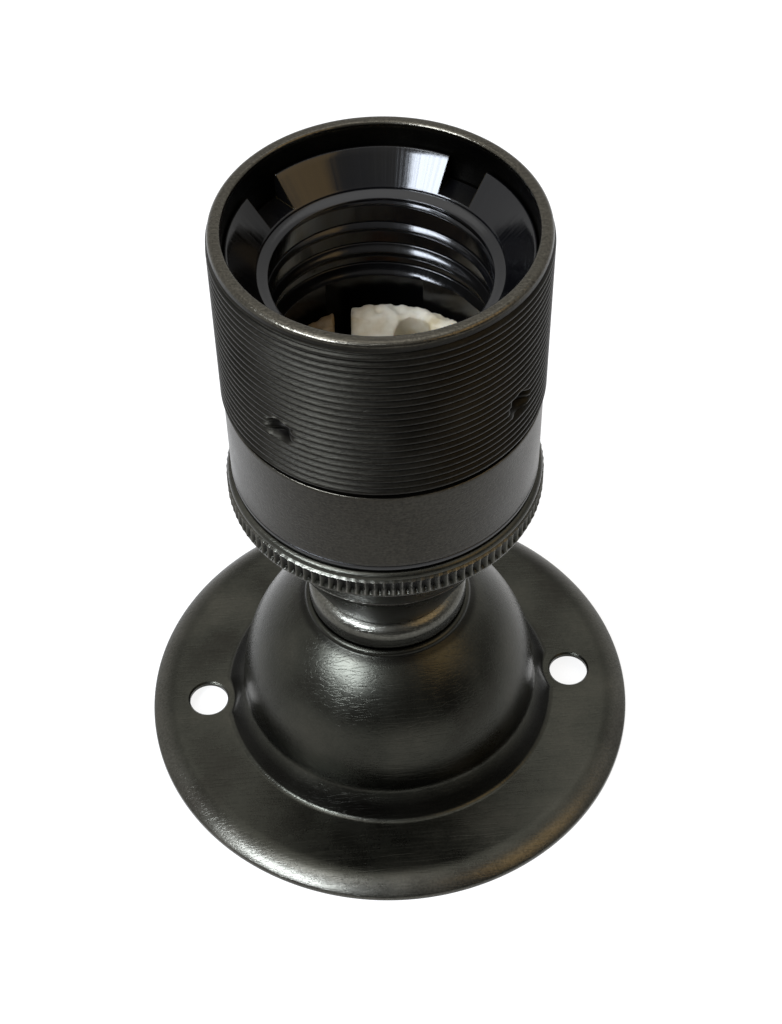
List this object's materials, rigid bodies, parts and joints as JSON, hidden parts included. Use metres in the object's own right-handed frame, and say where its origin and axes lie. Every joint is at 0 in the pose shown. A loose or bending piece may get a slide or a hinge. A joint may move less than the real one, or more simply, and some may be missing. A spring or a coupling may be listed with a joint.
{
  "type": "batten lamp holder",
  "caption": "Round-based batten lamp holder: a spun domed rose that screws to a wall or ceiling, with a threaded brass lamp socket standing on a hollow nipple.",
  "frame": {"origin": "centre of the rose's rim, in the plane that meets the wall or ceiling", "axes": "+Z along the lamp axis away from the wall; the two wall screws lie on the X axis"},
  "size_m": [0.0654, 0.0654, 0.0855],
  "materials": {
    "antique_brass": "dark olive bronzed brass, satin, with worn golden edges",
    "black_moulding": "glossy black moulded phenolic",
    "porcelain": "cream unglazed porcelain, opaque",
    "bright_brass": "plain machined brass",
    "contact_bronze": "rolled phosphor bronze",
    "plated_steel": "zinc plated steel"
  },
  "bodies": {
    "holder": {"backplate": "antique_brass", "threaded_nipple": "plated_steel", "lock_washer": "plated_steel", "nipple_nut": "plated_steel", "neck_collar": "antique_brass", "holder_cap": "antique_brass", "cap_grub_screw": "plated_steel", "earth_terminal": "bright_brass", "earth_screw": "plated_steel", "porcelain_interior": "porcelain", "live_terminal": "bright_brass", "neutral_terminal": "bright_brass", "live_terminal_screw": "plated_steel", "neutral_terminal_screw": "plated_steel", "centre_contact": "contact_bronze", "centre_contact_screw": "plated_steel"},
    "socket": {"outer_skirt": "antique_brass", "liner": "black_moulding"},
    "contact_button": {"contact_button": "contact_bronze"},
    "side_contact": {"side_contact": "contact_bronze"}
  },
  "joints": [
    {"name": "skirt_lift", "type": "slide", "parent": "holder", "child": "socket", "axis": [0, 0, 1], "range_m": [0, 0.025]},
    {"name": "button_press", "type": "slide", "parent": "holder", "child": "contact_button", "axis": [0, 0, -1], "range_m": [0, 0.0012], "stiffness_N_per_m": 300, "deforming": ["centre_contact"]},
    {"name": "side_contact_flex", "type": "hinge", "parent": "holder", "child": "side_contact", "pos_m": [-0.00094, -0.01261, 0.04965], "axis": [0.9973, -0.0741, 0], "range_deg": [0, 4], "stiffness_Nm_per_rad": 0.1}
  ]
}
